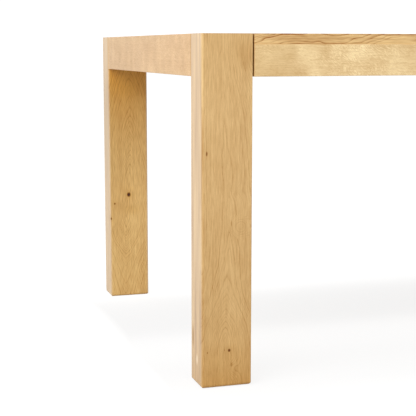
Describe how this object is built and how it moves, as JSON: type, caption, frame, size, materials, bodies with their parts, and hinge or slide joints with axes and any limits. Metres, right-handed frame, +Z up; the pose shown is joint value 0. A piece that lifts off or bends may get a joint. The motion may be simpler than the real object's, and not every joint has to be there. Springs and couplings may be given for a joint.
{
  "type": "parsons dining table",
  "caption": "Square-edged oak dining table; the end frames slide out of the centre section on grooved lopers, and a loose leaf goes into each opening.",
  "frame": {"origin": "on the floor under the middle of the closed table", "axes": "+X along the table's length towards its right end, +Y across the table from its front to its rear, +Z up"},
  "size_m": [1.8, 1, 0.76],
  "materials": {
    "oak_top": "satin oiled oak",
    "oak_legs": "satin oiled oak",
    "oak_rails": "satin oiled oak",
    "oak_inside": "planed oak",
    "beech": "waxed beech",
    "zinc_screws": "zinc-plated steel",
    "steel_fittings": "zinc-plated steel",
    "felt": "pressed felt",
    "rubber_buffers": "matt rubber"
  },
  "bodies": {
    "centre_section": {"centre_dowels": "beech", "centre_glue_blocks": "beech", "clip_screws": "zinc_screws", "front_inner_guide": "beech", "front_outer_guide": "beech", "front_rail": "oak_rails", "guide_screws": "zinc_screws", "left_cross_rail": "oak_inside", "left_front_inner_key": "beech", "left_front_outer_key": "beech", "left_rear_inner_key": "beech", "left_rear_outer_key": "beech", "left_strap": "oak_inside", "middle_strap": "oak_inside", "rear_inner_guide": "beech", "rear_outer_guide": "beech", "rear_rail": "oak_rails", "right_cross_rail": "oak_inside", "right_front_inner_key": "beech", "right_front_outer_key": "beech", "right_rear_inner_key": "beech", "right_rear_outer_key": "beech", "right_strap": "oak_inside", "stop_buffers": "rubber_buffers", "strap_screws": "zinc_screws", "top_board_1": "oak_top", "top_board_2": "oak_top", "top_board_3": "oak_top", "top_board_4": "oak_top", "top_board_5": "oak_top", "top_board_6": "oak_top", "top_board_7": "oak_top", "top_board_8": "oak_top", "top_clips": "steel_fittings"},
    "left_end": {"left_front_leg": "oak_legs", "left_rear_leg": "oak_legs", "left_end_board": "oak_rails", "left_end_strip": "oak_top", "left_inner_rail": "oak_inside", "left_front_loper": "beech", "left_rear_loper": "beech", "left_loper_brackets": "steel_fittings", "left_bracket_screws": "zinc_screws", "left_end_dowels": "beech", "left_alignment_pins": "beech", "left_end_glue_blocks": "beech", "left_foot_pads": "felt"},
    "right_end": {"right_front_leg": "oak_legs", "right_rear_leg": "oak_legs", "right_end_board": "oak_rails", "right_end_strip": "oak_top", "right_inner_rail": "oak_inside", "right_front_loper": "beech", "right_rear_loper": "beech", "right_loper_brackets": "steel_fittings", "right_bracket_screws": "zinc_screws", "right_end_dowels": "beech", "right_alignment_pins": "beech", "right_end_glue_blocks": "beech", "right_foot_pads": "felt"}
  },
  "joints": [
    {"name": "left_end_slide", "type": "slide", "parent": "centre_section", "child": "left_end", "axis": [-1, 0, 0], "range_m": [0, 0.5]},
    {"name": "right_end_slide", "type": "slide", "parent": "centre_section", "child": "right_end", "axis": [1, 0, 0], "range_m": [0, 0.5]}
  ]
}
